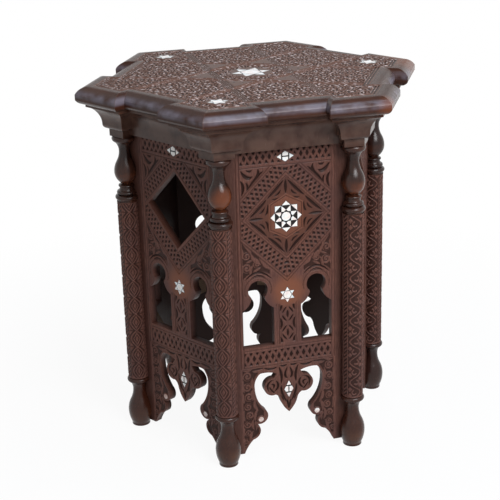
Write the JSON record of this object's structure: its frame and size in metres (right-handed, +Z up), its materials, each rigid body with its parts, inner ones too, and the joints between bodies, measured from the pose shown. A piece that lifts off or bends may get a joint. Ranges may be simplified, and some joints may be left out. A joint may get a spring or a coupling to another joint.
{
  "type": "hexagonal side table",
  "caption": "Carved hexagonal side table on turned columns, with pierced panels, a moulded top and mother-of-pearl inlay.",
  "frame": {"origin": "on the floor, on the table's axis", "axes": "+Z up along the table's axis, -Y out of the front panel"},
  "size_m": [0.537, 0.465, 0.56],
  "materials": {
    "carved_walnut": "matte carved walnut with dark recesses",
    "polished_walnut": "polished reddish-brown walnut",
    "top_walnut": "carved walnut with a worn polish",
    "inner_wood": "plain unpolished wood",
    "pearl": "polished mother-of-pearl",
    "ebony": "polished ebony",
    "screw_steel": "plain steel"
  },
  "bodies": {
    "root": {"column_1": "polished_walnut", "capital_block_1": "polished_walnut", "frieze_rail_1": "polished_walnut", "recess_nosing_1": "polished_walnut", "corner_nosing_1": "polished_walnut", "star_panel_1": "carved_walnut", "panel_pearl_1": "pearl", "panel_ebony_1": "ebony", "column_2": "polished_walnut", "capital_block_2": "polished_walnut", "frieze_rail_2": "polished_walnut", "recess_nosing_2": "polished_walnut", "corner_nosing_2": "polished_walnut", "open_panel_2": "carved_walnut", "panel_pearl_2": "pearl", "panel_ebony_2": "ebony", "column_3": "polished_walnut", "capital_block_3": "polished_walnut", "frieze_rail_3": "polished_walnut", "recess_nosing_3": "polished_walnut", "corner_nosing_3": "polished_walnut", "star_panel_3": "carved_walnut", "panel_pearl_3": "pearl", "panel_ebony_3": "ebony", "column_4": "polished_walnut", "capital_block_4": "polished_walnut", "frieze_rail_4": "polished_walnut", "recess_nosing_4": "polished_walnut", "corner_nosing_4": "polished_walnut", "open_panel_4": "carved_walnut", "panel_pearl_4": "pearl", "panel_ebony_4": "ebony", "column_5": "polished_walnut", "capital_block_5": "polished_walnut", "frieze_rail_5": "polished_walnut", "recess_nosing_5": "polished_walnut", "corner_nosing_5": "polished_walnut", "star_panel_5": "carved_walnut", "panel_pearl_5": "pearl", "panel_ebony_5": "ebony", "column_6": "polished_walnut", "capital_block_6": "polished_walnut", "frieze_rail_6": "polished_walnut", "recess_nosing_6": "polished_walnut", "corner_nosing_6": "polished_walnut", "open_panel_6": "carved_walnut", "panel_pearl_6": "pearl", "panel_ebony_6": "ebony", "top_board": "top_walnut", "top_star_pearl": "pearl", "top_star_ebony": "ebony", "top_corner_blocks": "inner_wood", "side_glue_blocks": "inner_wood", "top_batten_1": "inner_wood", "top_batten_2": "inner_wood", "top_screws": "screw_steel"}
  },
  "joints": []
}
